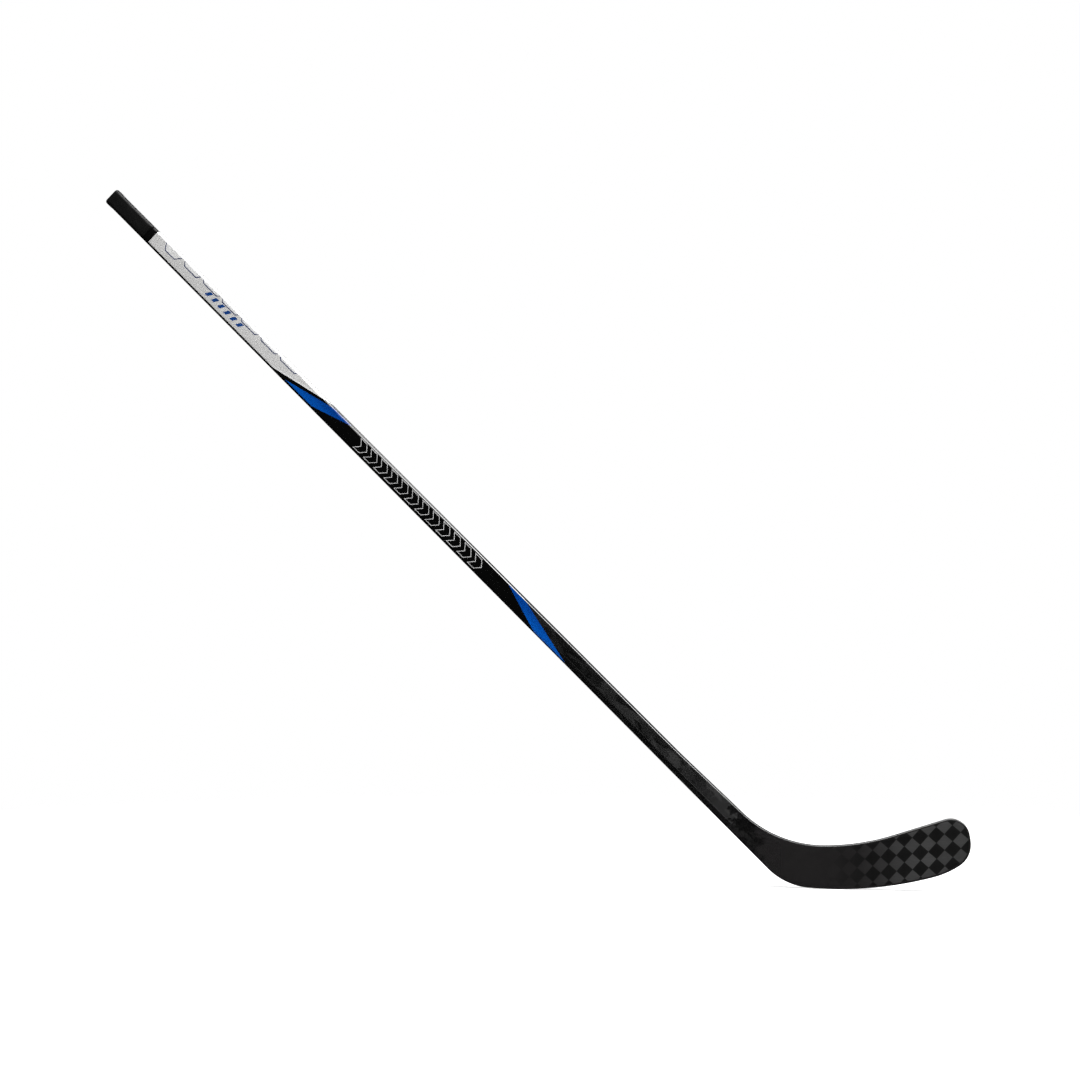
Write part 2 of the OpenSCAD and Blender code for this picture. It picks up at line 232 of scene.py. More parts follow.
def solid(rings):
    """A closed solid through rings, with a flat face at each end."""
    points, faces = joined_rings(rings, closed=False)
    n = len(rings[0])
    faces.append(tuple(range(n - 1, -1, -1)))
    faces.append(tuple(len(points) - n + i for i in range(n)))
    return points, faces


# ---- Sections of the shaft ----

def arc(centre, r, start, turn, count):
    """count points of an arc about centre, as (v, y)."""
    angles = [math.radians(start + turn * i / (count - 1)) for i in range(count)]
    return [(centre[0] + r * math.cos(a), centre[1] + r * math.sin(a)) for a in angles]


def fillet(corner, before, after, r, count):
    """A corner rounded to about r between its neighbours."""
    c, a, b = (Vector((*p, 0)) for p in (corner, before, after))
    da, db = (a - c).normalized(), (b - c).normalized()
    angle = da.angle(db)
    reach = r / math.tan(angle / 2)
    pa, pb = c + da * reach, c + db * reach
    points = []
    for i in range(count):
        t = i / (count - 1)
        p = pa * (1 - t) ** 2 + c * 2 * t * (1 - t) + pb * t * t
        points.append((p.x, p.y))
    return points


def back_corner(d, r, cut, flat):
    """The corner beside the back edge at positive y: an arc, a chamfer or something between."""
    cx, cy = cut
    round_one = arc((r, d / 2 - r), r, 90, 90, CORNER_STEPS)
    if flat <= 0:
        return round_one
    high, low = (cx, d / 2), (0.0, d / 2 - cy)
    beyond, below = (cx + 10 * MM, d / 2), (0.0, 0.0)
    half = CORNER_STEPS // 2
    chamfer = fillet(high, beyond, low, CHAMFER_ROUNDS[0], half)
    chamfer += fillet(low, high, below, CHAMFER_ROUNDS[1], half)
    return [(mix(a[0], b[0], flat), mix(a[1], b[1], flat)) for a, b in zip(round_one, chamfer)]


def section(w, d, r, flat, inset):
    """The shaft's section as (v, y), its back edge at v = 0.

    It is flat of the way from rounded to chamfered at the back, and sunk by inset.
    """
    w, d, r = w - 2 * inset, d - 2 * inset, max(r - inset, LEAST_R)
    cut = [width - CHAMFER_SINK * inset for width in CHAMFER]
    back = back_corner(d, r, cut, flat)
    front = arc((w - r, d / 2 - r), r, 0, 90, CORNER_STEPS)
    half = front + back
    other = [(v, -y) for v, y in half[::-1]]
    return [(v + inset, y) for v, y in half + other]


def shaft_ring(u, inset):
    return [on_shaft(v, y, u) for v, y in section(SHAFT_W, SHAFT_D, CORNER_R, 0.0, inset)]


# ---- The blade's outline ----

def heading_way(heading):
    a = math.radians(heading)
    return Vector((math.cos(a), 0, math.sin(a)))


def leftwards(heading):
    a = math.radians(heading)
    return Vector((-math.sin(a), 0, math.cos(a)))


def on_arc(centre, r, heading):
    return centre - leftwards(heading) * r


BEND_HEADING = FLARE_TURN - 45
TOP_ENTRY = on_shaft(SHAFT_W, 0, FLARE_START) + heading_way(BEND_HEADING) * FLARE_LENGTH
SOLE_ENTRY = on_shaft(0, 0, BACK_START) + heading_way(-45) * BACK_LENGTH
BEND_CENTRE = TOP_ENTRY + leftwards(BEND_HEADING) * BEND_R
HEEL_CENTRE = SOLE_ENTRY + leftwards(-45) * HEEL_R


def outline_path(inset, side):
    """The outline from BLADE_X to the toe, sunk by inset: side -1 is the top line and 1 the sole."""
    centre = BEND_CENTRE if side < 0 else HEEL_CENTRE
    (r, turn), moves = (TOP_FIRST, TOP_MOVES) if side < 0 else (SOLE_FIRST, SOLE_MOVES)
    entry = BEND_HEADING if side < 0 else -45
    heading = entry + turn
    edge_start = math.degrees(math.asin((BLADE_X - centre.x) / r))
    count = max(3, round((heading - edge_start) / ARC_STEP))
    r = r - inset * side
    start = math.degrees(math.asin((BLADE_X - centre.x) / r))
    points = [on_arc(centre, r, mix(start, heading, i / count)) for i in range(count + 1)]
    for radius, amount in moves:
        p = points[-1]
        if radius == 0:
            count = math.ceil(amount / RUN_STEP)
            way = heading_way(heading)
            points += [p + way * (amount * (i + 1) / count) for i in range(count)]
            continue
        sign = 1 if amount > 0 else -1
        true_r = radius - inset * side * sign
        centre = p + leftwards(heading) * true_r * sign
        count = math.ceil(abs(amount) / (ARC_STEP if radius > SMALL_R else SMALL_ARC_STEP))
        for i in range(count):
            at = heading + amount * (i + 1) / count
            points.append(centre - leftwards(at) * true_r * sign)
        heading += amount
    return points


def height_on(path, x):
    """The path's height at x. The path runs towards the toe."""
    for a, b in zip(path, path[1:]):
        if b.x >= x and b.x > a.x:
            return mix(a.z, b.z, ramp(x, a.x, b.x))
    return path[-1].z


def bow(x):
    return max(x - CURVE_START, 0.0) ** 2 / (2 * CURVE_R)


def half_t(x):
    return mix(HEEL_T, TOE_T, ramp(x, BLADE_X, TOE_X)) / 2


def rim_profile(x):
    """The rim's section as (inset, y) about the blade's middle: rounded outside, grooved inside."""
    h, r = half_t(x), EDGE_R
    corner = arc((r, h - r), r, 90, 90, RIM_STEPS)
    side = [(BEAD_W, h - GROOVE[1]), (BEAD_W - GROOVE[0], h)] + corner
    return side + [(q, -y) for q, y in side[::-1]]


def rim_rings():
    """Rings of the rim from the heel along the top, round the toe and back along the sole."""
    insets = [inset for inset, _ in rim_profile(TOE_X)]
    lanes = {q: outline_path(q, -1) + outline_path(q, 1)[-2::-1] for q in set(insets)}
    rings = []
    for station in zip(*[lanes[inset] for inset in insets]):
        ring = []
        for k, p in enumerate(station):
            ring.append(Vector((p.x, rim_profile(p.x)[k][1] - bow(p.x), p.z)))
        rings.append(ring)
    return rings


def add_rims(material):
    rings = rim_rings()
    outer = [max(p.x for p in ring) for ring in rings]
    past = [j for j, x in enumerate(outer) if x > TOE_SPLIT]
    first, last = past[0], past[-1]
    parts = [("top_rim", rings[:first + 1], "top_bead"),
             ("toe_rim", rings[first:last + 1], "toe_bead"),
             ("sole_rim", rings[last:], "sole_bead")]
    for name, part, node in parts:
        points, faces = solid(part)
        add_mesh(name, points, faces, "stick", material, "bead_resin", [node])


# ---- The blade's faces ----

def face_columns():
    """X of the columns of a blade face, closer together towards the toe."""
    start, end = BLADE_X, TOE_X - BEAD_W - GROOVE[0] - TIP_GAP
    bend = end - TIP_RUN
    count = math.ceil((bend - start) / COLUMN_STEP)
    xs = [mix(start, bend, i / count) for i in range(count)]
    turns = [math.pi / 2 * i / TIP_COLUMNS for i in range(TIP_COLUMNS + 1)]
    return xs + [mix(bend, end, math.sin(turn)) for turn in turns]


def face_grid():
    """Columns of (x, z, sunk) points over a blade face: sunk is 1 on the edge's groove."""
    rims = [outline_path(BEAD_W, side) for side in (1, -1)]
    fields = [outline_path(BEAD_W + GROOVE[0], side) for side in (1, -1)]
    grid = []
    for x in face_columns():
        low, high = (height_on(path, x) for path in fields)
        column = [(x, height_on(rims[0], x), 1)]
        column += [(x, mix(low, high, k / FACE_ROWS), 0) for k in range(FACE_ROWS + 1)]
        column.append((x, height_on(rims[1], x), 1))
        grid.append(column)
    tip = TOE_X - BEAD_W - TIP_GAP
    low, high = (height_on(path, tip) for path in rims)
    steps = FACE_ROWS + 2
    grid.append([(tip, mix(low, high, k / steps), 1) for k in range(steps + 1)])
    return grid


def add_face(name, node, side, material):
    """A blade face and the ply under it as one thin closed solid: side -1 is the forehand."""
    grid = face_grid()
    rows, columns = len(grid[0]), len(grid)
    points = []
    for depth in (0.0, PLY_T):
        for column in grid:
            for x, z, sunk in column:
                drop = GROOVE[1] if sunk and depth == 0 else depth
                points.append(Vector((x, side * (half_t(x) - drop) - bow(x), z)))
    size = rows * columns
    faces = []
    for c in range(columns - 1):
        for r in range(rows - 1):
            a = c * rows + r
            quad = (a, a + rows, a + rows + 1, a + 1)
            under = tuple(i + size for i in quad[::-1])
            faces += [quad, under]
    edge = list(range(rows))
    edge += [c * rows + rows - 1 for c in range(1, columns)]
    edge += [(columns - 1) * rows + r for r in range(rows - 2, -1, -1)]
    edge += [c * rows for c in range(columns - 2, 0, -1)]
    for a, b in zip(edge, edge[1:] + edge[:1]):
        faces.append((a, b, b + size, a + size))
    if side > 0:
        faces = [face[::-1] for face in faces]
    add_mesh(name, points, faces, "stick", material, "blade_carbon", [node])


# ---- The neck and hosel ----

HEEL_END = math.degrees(math.asin((BLADE_X - HEEL_CENTRE.x) / HEEL_R))
BEND_END = math.degrees(math.asin((BLADE_X - BEND_CENTRE.x) / BEND_R))
BACK_RUN = BEND_U - BACK_START + BACK_LENGTH
BACK_TOTAL = BACK_RUN + HEEL_R * math.radians(HEEL_END + 45)
NECK_RUN = NECK_TOP - BEND_U
NECK_TOTAL = NECK_RUN + BACK_TOTAL


def neck_ring(back, front, gone, flat, inset):
    """A section from its back point to its front point, gone of the way to the blade."""
    reach = front - back
    way = reach.normalized()
    d = mix(SHAFT_D, HEEL_T, smooth(gone))
    r = mix(CORNER_R, EDGE_R, gone)
    shape = section(reach.length, d, r, flat, inset)
    return [back + way * v + Vector((0, y, 0)) for v, y in shape]


def straight_ring(u, inset):
    front_v = SHAFT_W + max(FLARE_START - u, 0) * math.tan(math.radians(FLARE_TURN))
    gone = ramp(NECK_TOP - u, 0, NECK_TOTAL)
    flat = smooth(ramp(u, *CHAMFER_FADE)) * (1 - ramp(u, CHAMFER_FULL, CHAMFER_TOP))
    return neck_ring(on_shaft(0, 0, u), on_shaft(front_v, 0, u), gone, flat, inset)


def bend_ring(t, inset):
    run = t * BACK_TOTAL
    if run < BACK_RUN:
        back = on_shaft(0, 0, BEND_U - run)
    else:
        back = on_arc(HEEL_CENTRE, HEEL_R, math.degrees((run - BACK_RUN) / HEEL_R) - 45)
    front = on_arc(BEND_CENTRE, BEND_R, mix(BEND_HEADING, BEND_END, t))
    return neck_ring(back, front, mix(NECK_RUN / NECK_TOTAL, 1, t), 0.0, inset)


def add_neck(cover_material, hosel_material):
    count = math.ceil((CHAMFER_TOP - BEND_U) / RING_STEP)
    us = [mix(CHAMFER_TOP, BEND_U, i / count) for i in range(count + 1)]
    cover = shell(*[[straight_ring(u, inset) for u in us] for inset in (0.0, FILM_T)])
    add_mesh("lower_sleeve", *cover, "stick", cover_material, "cover_carbon", ["lower_cover"])
    ts = [i / BEND_STEPS for i in range(BEND_STEPS + 1)]
    hosel = shell(*[[bend_ring(t, inset) for t in ts] for inset in (0.0, FILM_T)])
    add_mesh("hosel_shell", *hosel, "stick", hosel_material, "hosel_carbon", ["hosel_wrap"])


# ---- The butt end ----

def cap_outside():
    """Places along the shaft and insets of the cap's outside, from its mouth to its end face."""
    mouth, band = BAND_ENDS
    end, r = SHAFT_END, CAP_END_R
    lip = end - CAP_LIP_RUN
    lane = [(mouth, BAND_T + 0.2 * MM), (mouth + 0.3 * MM, BAND_T), (band, BAND_T),
            (band + 0.05 * MM, 0.25 * MM), (band + 0.5 * MM, 0.0)]
    lane += [(mix(band, lip, t), 0.0) for t in (0.1, 0.3, 0.6, 0.9)]
    lane += [(lip + i * MM, -CAP_LIP * smooth(i / CAP_STEPS)) for i in range(CAP_STEPS + 1)]
    lane.append((end - r - 2 * MM, -CAP_LIP))
    turns = [math.pi / 2 * i / CAP_STEPS for i in range(CAP_STEPS + 1)]
    lane += [(end - r + r * math.sin(a), -CAP_LIP + r * (1 - math.cos(a))) for a in turns]
    lane.append((end, CAP_FACE_INSET))
    return lane


def cap_bore():
    """The same for the cap's bore, from its closed end to its mouth."""
    mouth, end = BAND_ENDS[0], SHAFT_END
    lane = [(end - CAP_END, CAP_WALL + CAP_BEVEL), (end - CAP_END - CAP_BEVEL, CAP_WALL)]
    lane += [(mix(end, mouth, t), CAP_WALL) for t in (0.3, 0.6, 0.9)]
    lane.append((mouth, CAP_WALL))
    return lane


def add_cap(material):
    outer = [shaft_ring(u, inset) for u, inset in cap_outside()]
    inner = [shaft_ring(u, inset) for u, inset in cap_bore()]
    points, faces = joined_rings([inner[-1]] + outer, closed=False)
    n = len(outer[0])
    start = len(points)
    faces.append(tuple(start - n + i for i in range(n)))
    more, more_faces = joined_rings(inner, closed=False)
    points += more
    faces += [tuple(i + start for i in face) for face in more_faces]
    faces.append(tuple(start + n - 1 - i for i in range(n)))
    obj = add_mesh("cap_rubber_shell", points, faces, "butt_cap", material, "cap_rubber", ["butt_cap"])
    weld = obj.modifiers.new("weld", "WELD")
    weld.merge_threshold = 0.01 * MM


def add_band(material):
    mouth, band = BAND_ENDS
    run, drop = BAND_BEVEL
    outside = [(mouth, drop), (mouth + run, 0.0), (mix(mouth, band, 0.5), 0.0),
               (band - run, 0.0), (band, drop)]
    outer = [shaft_ring(u, inset) for u, inset in outside]
    inner = [shaft_ring(u, BAND_T) for u, _ in outside]
    points, faces = shell(outer, inner)
    add_mesh("cap_mouth_band", points, faces, "butt_cap", material, "band_rubber", ["cap_band"])


# ---- Material graphs ----

class Graph:
    """A material's node graph, with short calls for the nodes it uses."""

    def __init__(self, name, base, roughness, specular=0.5):
        self.material = bpy.data.materials.new(name)
        self.material.use_nodes = True
        self.tree = self.material.node_tree
        self.shader = self.tree.nodes["Principled BSDF"]
        self.set("Base Color", (*base, 1))
        self.set("Roughness", roughness)
        self.set("Specular IOR Level", specular)
        self.place = self.add("ShaderNodeTexCoord").outputs["Object"]
        self.material.diffuse_color = (*base, 1)

    def set(self, socket, value):
        self.shader.inputs[socket].default_value = value

    def add(self, kind, **settings):
        node = self.tree.nodes.new(kind)
        for key, value in settings.items():
            setattr(node, key, value)
        return node

    def feed(self, node, socket, value):
        if isinstance(value, bpy.types.NodeSocket):
            self.tree.links.new(value, node.inputs[socket])
        else:
            node.inputs[socket].default_value = value

    def to_shader(self, socket, value):
        self.tree.links.new(value, self.shader.inputs[socket])

    def math(self, operation, a, b=0.0, clamp=False):
        node = self.add("ShaderNodeMath", operation=operation, use_clamp=clamp)
        self.feed(node, 0, a)
        self.feed(node, 1, b)
        return node.outputs[0]

    def moved(self, vector, location=(0, 0, 0), rotation=(0, 0, 0), scale=(1, 1, 1)):
        node = self.add("ShaderNodeMapping")
        self.feed(node, "Vector", vector)
        self.feed(node, "Location", location)
        self.feed(node, "Rotation", rotation)
        self.feed(node, "Scale", scale)
        return node.outputs[0]

    def parts(self, vector):
        node = self.add("ShaderNodeSeparateXYZ")
        self.feed(node, 0, vector)
        return node.outputs

    def noise(self, vector, size, detail=2.0, roughness=0.5):
        """Noise whose lumps are about size metres."""
        node = self.add("ShaderNodeTexNoise")
        self.feed(node, "Vector", vector)
        self.feed(node, "Scale", 1 / size)
        self.feed(node, "Detail", detail)
        self.feed(node, "Roughness", roughness)
        return node.outputs["Fac"]

    def cells(self, vector, size, metric):
        """A random colour for each cell of about size metres."""
        node = self.add("ShaderNodeTexVoronoi", distance=metric)
        self.feed(node, "Vector", vector)
        self.feed(node, "Scale", 1 / size)
        return node.outputs["Color"]

    def between(self, value, low, high, to_low=0.0, to_high=1.0, soft=True):
        """Value mapped from low..high to another range, clamped."""
        node = self.add("ShaderNodeMapRange")
        if soft:
            node.interpolation_type = "SMOOTHSTEP"
        self.feed(node, 0, value)
        for socket, number in zip((1, 2, 3, 4), (low, high, to_low, to_high)):
            self.feed(node, socket, number)
        return node.outputs[0]

    def blend(self, factor, a, b):
        """A colour between a and b. The mix node's colours are sockets 6 and 7, and output 2."""
        node = self.add("ShaderNodeMix", data_type="RGBA")
        self.feed(node, 0, factor)
        for socket, colour in ((6, a), (7, b)):
            linked = isinstance(colour, bpy.types.NodeSocket)
            self.feed(node, socket, colour if linked else (*colour, 1))
        return node.outputs[2]

    def bump(self, height, depth):
        """A relief of height times depth metres."""
        node = self.add("ShaderNodeBump")
        self.feed(node, "Strength", 1.0)
        self.feed(node, "Distance", depth)
        self.feed(node, "Height", height)
        self.to_shader("Normal", node.outputs[0])

    def coat(self, weight, roughness, ior=1.5):
        self.set("Coat Weight", weight)
        self.set("Coat Roughness", roughness)
        self.set("Coat IOR", ior)

    def along_shaft(self):
        """Object places turned into v, y and u on the shaft."""
        shift = HEEL_X / ROOT2
        return self.moved(self.place, (-shift, 0, shift), (0, math.radians(45), 0))


def grey(level):
    return level, level, level


def paint(name, base, other, roughness, coat, coat_ior=1.5, specular=0.25):
    """A printed and lacquered colour with a little drift and orange peel."""
    g = Graph(name, base, roughness, specular)
    drift = g.noise(g.along_shaft(), 60 * MM, 2)
    grain = g.noise(g.place, 6 * MM, 2)
    tone = g.math("ADD", g.between(drift, 0.3, 0.7, 0, 0.8), g.math("MULTIPLY", grain, 0.2))
    g.to_shader("Base Color", g.blend(tone, base, other))
    wear = g.noise(g.moved(g.along_shaft(), scale=(1, 1, 0.15)), 8 * MM, 2)
    g.to_shader("Roughness", g.between(wear, 0.35, 0.75, roughness, roughness + 0.12))
    g.bump(g.noise(g.place, 12 * MM, 1), 0.008 * MM)
    g.coat(coat, 0.08, coat_ior)
    return g.material


def grey_paint():
    return paint("grey_print", (0.63, 0.63, 0.62), (0.69, 0.685, 0.68), roughness=0.4, coat=0.3)


def black_paint():
    return paint("black_print", grey(0.0006), grey(0.001), roughness=0.3, coat=1.0,
                 coat_ior=2.0, specular=0.05)


def white_paint():
    return paint("white_print", (0.78, 0.78, 0.77), grey(0.84), roughness=0.32, coat=0.5)


def blue_paint():
    """The flashes: a blue that deepens from the back edge to the front, with a soft drift."""
    g = Graph("blue_print", (0.001, 0.065, 0.34), 0.3, 0.12)
    shaft = g.along_shaft()
    v = g.parts(shaft)[0]
    slope = g.between(v, 4 * MM, 24 * MM)
    drift = g.between(g.noise(g.place, 5 * MM, 1), 0.3, 0.7, -0.15, 0.15)
    tone = g.math("ADD", slope, drift, clamp=True)
    g.to_shader("Base Color", g.blend(tone, (0.0, 0.088, 0.45), (0.0, 0.048, 0.29)))
    g.bump(g.noise(g.place, 12 * MM, 1), 0.008 * MM)
    g.coat(0.6, 0.1, 1.8)
    return g.material


def emblem_paint():
    return paint("emblem_print", (0.006, 0.05, 0.22), (0.008, 0.06, 0.26), roughness=0.3, coat=0.5)


def upper_motif_paint():
    return paint("upper_motif_print", (0.015, 0.028, 0.1), (0.03, 0.045, 0.13),
                 roughness=0.35, coat=0.3)


def lower_motif_paint():
    return paint("lower_motif_print", grey(0.5), grey(0.6), roughness=0.3, coat=0.4)


def tow_grain(g, vector, turn):
    """Fine fibre lines that run along one direction of the surface."""
    lines = g.moved(vector, rotation=(0, math.radians(turn), 0), scale=(1, 1, 0.05))
    return g.noise(lines, 1.6 * MM, 1)


def ragged_x(g, lumps):
    """The place along x, pushed to and fro by lumps."""
    return g.math("ADD", g.parts(g.place)[0], g.between(lumps, 0.25, 0.75, -14 * MM, 14 * MM))


def plain_carbon(g):
    """The near-black of the blade's heel, with a faint mottle."""
    return g.blend(g.noise(g.place, 9 * MM, 4), (0.0115, 0.0105, 0.0108), (0.0145, 0.0135, 0.0138))


def laid_patches(g, shaft):
    """Two layers of long patches that cross, from 0 dark to 1 light."""
    stretched = g.moved(shaft, rotation=(0, math.radians(24), 0), scale=(1, 0.02, 0.42))
    patch = g.parts(g.cells(stretched, 12 * MM, "CHEBYCHEV"))[0]
    second = g.moved(shaft, rotation=(0, math.radians(-38), 0), scale=(1, 0.02, 0.5))
    other = g.parts(g.cells(second, 15 * MM, "MANHATTAN"))[1]
    level = g.math("ADD", g.math("MULTIPLY", patch, 0.6), g.math("MULTIPLY", other, 0.4))
    return g.between(level, 0.2, 0.85)


def cover_carbon():
    """The lower shaft: laid patches of unidirectional carbon under a glossy lacquer, with painted shade on
    the chamfers and a painted highlight line along their upper edge.
    """
    g = Graph("cover_carbon", grey(0.011), 0.4, 0.12)
    shaft = g.along_shaft()
    v, _, u = g.parts(shaft)
    fibres = tow_grain(g, shaft, 12)
    level = g.math("ADD", laid_patches(g, shaft), g.between(fibres, 0.3, 0.7, -0.06, 0.06), clamp=True)
    # Paler towards the blade, and never quite dark just above the hosel
    down = g.between(u, 120 * MM, 520 * MM, 1.0, 0.3)
    level = g.math("MAXIMUM", g.math("MULTIPLY", level, down), g.between(u, 130 * MM, 250 * MM, 0.62, 0.0))
    # Painted shade darkens the chamfers, and a painted highlight draws a light line along their upper edge
    beside = g.between(v, 8.6 * MM, 9.8 * MM)
    level = g.math("MULTIPLY", level, g.between(beside, 0, 1, 0.12, 1.0))
    off_painted_highlight = g.math("ABSOLUTE", g.math("SUBTRACT", v, 9.2 * MM))
    # A painted highlight: the light line that a lit bevel would show along the chamfer's edge
    line = g.between(off_painted_highlight, 0.4 * MM, 0.9 * MM, 0.9, 0.0)
    level = g.math("MAXIMUM", level, g.math("MULTIPLY", line, down))
    # The hosel's wrap begins in a ragged dark edge
    ragged = ragged_x(g, g.noise(g.place, 11 * MM, 4, 0.6))
    level = g.math("MULTIPLY", level, g.between(ragged, -158 * MM, -152 * MM, 1.0, 0.12))
    g.to_shader("Base Color", g.blend(level, grey(0.003), grey(0.038)))
    g.to_shader("Roughness", g.between(level, 0, 1, 0.36, 0.46))
    g.bump(fibres, 0.01 * MM)
    g.coat(1.0, 0.1, 1.8)
    return g.material


def chequer_cells(g):
    """Places counted in cells of the toe's spread-tow chequer, and whether each cell is a light one."""
    x, _, z = g.parts(g.place)
    c, s = math.cos(CELL_TURN), math.sin(CELL_TURN)
    dx, dz = g.math("SUBTRACT", x, FIRST_CELL[0]), g.math("SUBTRACT", z, FIRST_CELL[1])
    along = g.math("SUBTRACT", g.math("MULTIPLY", dx, c), g.math("MULTIPLY", dz, s))
    across = g.math("ADD", g.math("MULTIPLY", dz, c), g.math("MULTIPLY", dx, s))
    a = g.math("ADD", g.math("DIVIDE", along, CELL_SIZE[0]), 100.5)
    b = g.math("ADD", g.math("DIVIDE", across, CELL_SIZE[1]), 100.5)
    odd = g.math("MODULO", g.math("ADD", g.math("FLOOR", a), g.math("FLOOR", b)), 2.0)
    return a, b, g.math("SUBTRACT", 1.0, odd)


def cell_tone(g, a, b):
    """A factor of each cell's own, by which its tone differs from its neighbours'."""
    pair = g.add("ShaderNodeCombineXYZ")
    g.feed(pair, 0, g.math("FLOOR", a))
    g.feed(pair, 1, g.math("FLOOR", b))
    tone = g.add("ShaderNodeTexWhiteNoise", noise_dimensions="2D")
    g.feed(tone, "Vector", pair.outputs[0])
    return g.between(tone.outputs[0], 0, 1, 0.86, 1.08, soft=False)


def chequer_fibres(g, light):
    """Fibre lines that run one way in the light cells and the other way in the dark ones."""
    turned = (0, CELL_TURN, 0)
    warp = g.noise(g.moved(g.place, rotation=turned, scale=(0.05, 1, 1)), 1.2 * MM, 2)
    weft = g.noise(g.moved(g.place, rotation=turned, scale=(1, 1, 0.05)), 1.2 * MM, 2)
    return g.blend(light, weft, warp)


def blade_carbon(name):
    """The blade: plain satin carbon at the heel, and a chequer of wide tows towards the toe."""
    g = Graph(name, (0.012, 0.0115, 0.0115), 0.42, 0.12)
    x = g.parts(g.place)[0]
    a, b, light = chequer_cells(g)
    edges = [g.math("ABSOLUTE", g.math("SUBTRACT", g.math("FRACT", part), 0.5)) for part in (a, b)]
    seam = g.between(g.math("MAXIMUM", *edges), 0.465, 0.5)
    shown = g.blend(light, g.between(x, -34 * MM, 40 * MM), g.between(x, 6 * MM, 118 * MM))
    fibres = chequer_fibres(g, light)
    bright = g.blend(fibres, grey(0.038), grey(0.056))
    dark = g.blend(fibres, grey(0.0045), grey(0.008))
    toned = g.add("ShaderNodeVectorMath", operation="SCALE")
    g.feed(toned, 0, g.blend(light, dark, bright))
    g.feed(toned, "Scale", cell_tone(g, a, b))
    chequer = g.blend(g.math("MULTIPLY", seam, 0.75), toned.outputs[0], grey(0.006))
    g.to_shader("Base Color", g.blend(shown, plain_carbon(g), chequer))
    g.to_shader("Roughness", g.between(fibres, 0.2, 0.8, 0.4, 0.5))
    height = g.math("SUBTRACT", g.math("MULTIPLY", fibres, 0.35), g.math("MULTIPLY", seam, shown))
    g.bump(height, 0.02 * MM)
    g.coat(0.5, 0.14, 1.6)
    return g.material


def hosel_carbon():
    """The hosel: a darker mottled wrap that runs out into the blade's plain carbon."""
    g = Graph("hosel_carbon", grey(0.011), 0.42, 0.12)
    shaft = g.along_shaft()
    lumps = g.noise(g.place, 11 * MM, 4, 0.6)
    patch = g.parts(g.cells(g.moved(shaft, scale=(1, 0.05, 0.7)), 13 * MM, "MANHATTAN"))[0]
    dapple = g.math("ADD", g.math("MULTIPLY", lumps, 0.6), g.math("MULTIPLY", patch, 0.4))
    lower = g.between(ragged_x(g, lumps), -130 * MM, -110 * MM)
    wrap = g.blend(g.between(dapple, 0.35, 0.65), grey(0.0035), grey(0.011))
    g.to_shader("Base Color", g.blend(lower, wrap, plain_carbon(g)))
    g.to_shader("Roughness", g.between(lower, 0, 1, 0.36, 0.45))
    g.bump(tow_grain(g, shaft, 0), 0.01 * MM)
    g.coat(1.0, 0.12, 1.7)
    return g.material


def bead_resin():
    """The moulded rim: dark resin, a little glossier than the faces."""
    g = Graph("bead_resin", (0.011, 0.0105, 0.0105), 0.4, 0.25)
    tone = g.noise(g.place, 5 * MM, 4, 0.6)
    g.to_shader("Base Color", g.blend(tone, (0.009, 0.0085, 0.0085), (0.0145, 0.0138, 0.0138)))
    g.to_shader("Roughness", g.between(g.noise(g.place, 1.2 * MM, 3), 0.3, 0.7, 0.34, 0.48))
    g.bump(g.noise(g.place, 1.5 * MM, 3), 0.008 * MM)
    g.coat(0.7, 0.15, 1.7)
    return g.material


def rubber(name, base, other, roughness):
    """Moulded rubber with a fine even grain and a few lighter scuffs."""
    g = Graph(name, base, roughness, 0.12)
    scuff = g.between(g.noise(g.moved(g.along_shaft(), scale=(1, 1, 0.25)), 7 * MM, 5, 0.6), 0.5, 0.72)
    g.to_shader("Base Color", g.blend(scuff, base, other))
    grain = g.noise(g.place, 3 * MM, 2, 0.6)
    g.to_shader("Roughness", g.between(grain, 0.3, 0.7, roughness - 0.06, roughness + 0.08))
    g.bump(grain, 0.01 * MM)
    g.coat(0.1, 0.16, 1.7)
    return g.material


def inner_material(name, base, other, size, roughness):
    """A hidden piece's own stuff: foam, adhesive, laminate or plug."""
    g = Graph(name, base, roughness, 0.4)
    tone = g.noise(g.place, size, 4, 0.6)
    g.to_shader("Base Color", g.blend(g.between(tone, 0.3, 0.7), base, other))
    g.bump(tone, 0.03 * MM)
    return g.material


# ---- Carried-over CAD nodes ----

def smooth_group():
    """A modifier group that shades a mesh smooth where its faces meet at a shallow angle."""
    group = bpy.data.node_groups.new("smooth_shallow_edges", "GeometryNodeTree")
    group.interface.new_socket("Geometry", in_out="INPUT", socket_type="NodeSocketGeometry")
    group.interface.new_socket("Geometry", in_out="OUTPUT", socket_type="NodeSocketGeometry")
    nodes, links = group.nodes, group.links
    start, end = nodes.new("NodeGroupInput"), nodes.new("NodeGroupOutput")
    faces = nodes.new("GeometryNodeSetShadeSmooth")
    edges = nodes.new("GeometryNodeSetShadeSmooth")
    edges.domain = "EDGE"
    angle = nodes.new("GeometryNodeInputMeshEdgeAngle")
    steep = nodes.new("FunctionNodeCompare")
    steep.data_type, steep.operation = "FLOAT", "GREATER_THAN"
    steep.inputs[1].default_value = math.radians(CAD_SHARP_ANGLE)
    links.new(angle.outputs["Unsigned Angle"], steep.inputs[0])
    links.new(start.outputs[0], faces.inputs["Geometry"])
    links.new(faces.outputs[0], edges.inputs["Geometry"])
    links.new(steep.outputs[0], edges.inputs["Selection"])
    edges.inputs["Shade Smooth"].default_value = False
    links.new(edges.outputs[0], end.inputs[0])
    return group


